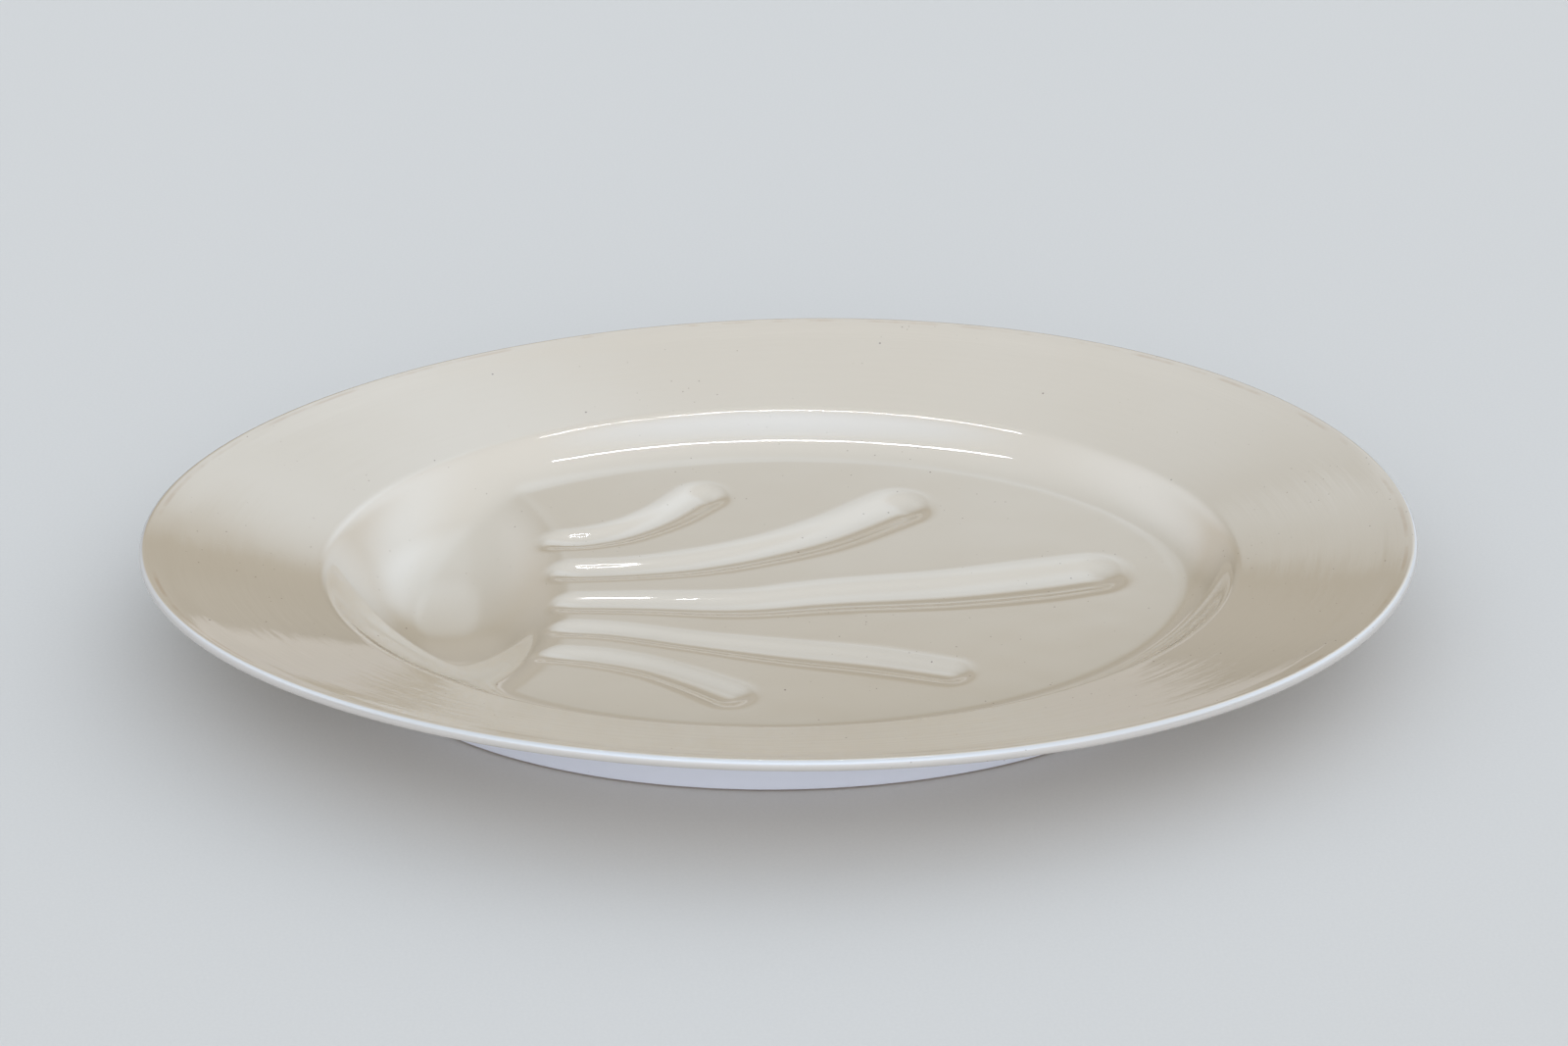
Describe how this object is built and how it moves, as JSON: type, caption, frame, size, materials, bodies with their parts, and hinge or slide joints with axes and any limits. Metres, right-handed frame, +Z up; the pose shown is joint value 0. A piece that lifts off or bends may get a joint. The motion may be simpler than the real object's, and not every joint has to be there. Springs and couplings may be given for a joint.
{
  "type": "oval meat platter",
  "caption": "Oval well-and-tree meat platter with a wide flared rim, juice channels that lead to a sunken gravy well, and an oval foot ring.",
  "frame": {"origin": "middle of the plane that the foot ring rests on", "axes": "+X along the platter's length, away from the gravy well; +Y across its width; +Z up"},
  "size_m": [0.4598, 0.3398, 0.05],
  "materials": {
    "glazed_dish": "gloss cream-white glaze with fine brown specks",
    "glazed_foot": "gloss glaze, wiped off the resting edge, which is bare brown-stained clay"
  },
  "bodies": {
    "root": {"dish_body": "glazed_dish", "foot_ring": "glazed_foot"}
  },
  "joints": []
}
